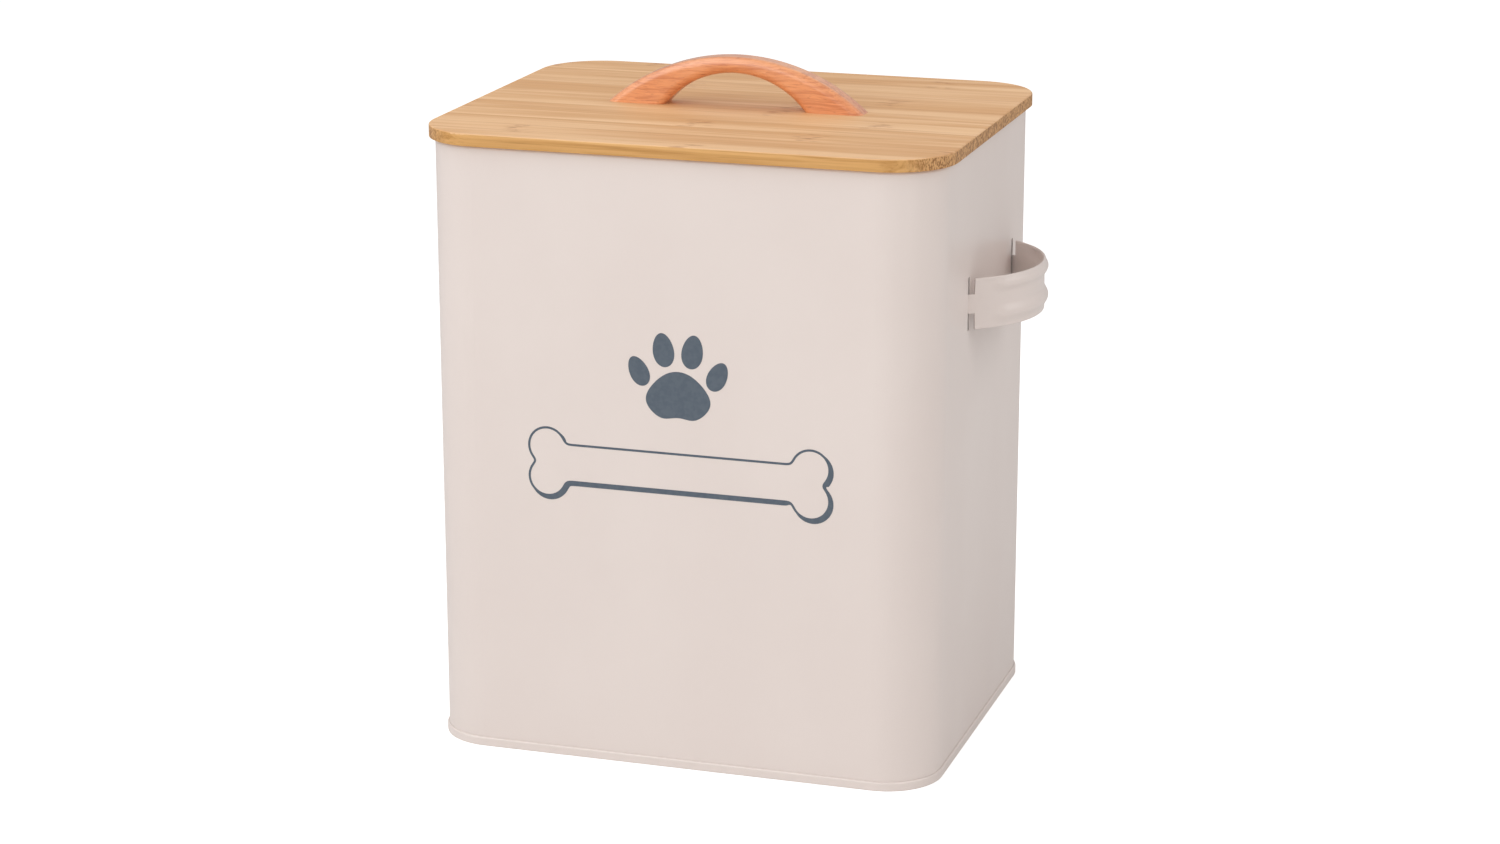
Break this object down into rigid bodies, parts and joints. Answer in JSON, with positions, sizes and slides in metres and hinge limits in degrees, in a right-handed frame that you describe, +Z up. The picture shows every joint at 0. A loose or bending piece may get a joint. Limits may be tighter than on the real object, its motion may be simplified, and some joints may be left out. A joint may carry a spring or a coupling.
{
  "type": "pet food bin",
  "caption": "Upright box-shaped metal storage bin with rounded corners, strap side handles and a lift-off wooden lid with an arched handle.",
  "frame": {"origin": "middle of the footprint, on the surface that the bin stands on", "axes": "+Z up, -Y out of the front face, +X towards the right-hand strap handle"},
  "size_m": [0.3064, 0.21, 0.3315],
  "materials": {
    "cream_paint": "satin powder coat",
    "print_ink": "matte screen print",
    "bamboo": "satin oiled strips",
    "handle_beech": "satin lacquer",
    "seal_silicone": "matte, translucent",
    "insert_brass": "turned",
    "zinc_steel": "zinc plated"
  },
  "bodies": {
    "bin": {"body_shell": "cream_paint", "base_pan": "cream_paint", "strap_handle_right": "cream_paint", "strap_handle_left": "cream_paint"},
    "lid": {"lid_board": "bamboo", "lid_plug": "bamboo", "lid_seal": "seal_silicone", "lid_handle": "handle_beech", "handle_inserts": "insert_brass", "handle_screws": "zinc_steel", "handle_washers": "zinc_steel"}
  },
  "joints": [
    {"name": "lid_lift", "type": "slide", "parent": "bin", "child": "lid", "axis": [0, 0, 1], "range_m": [0, 0.16]}
  ]
}
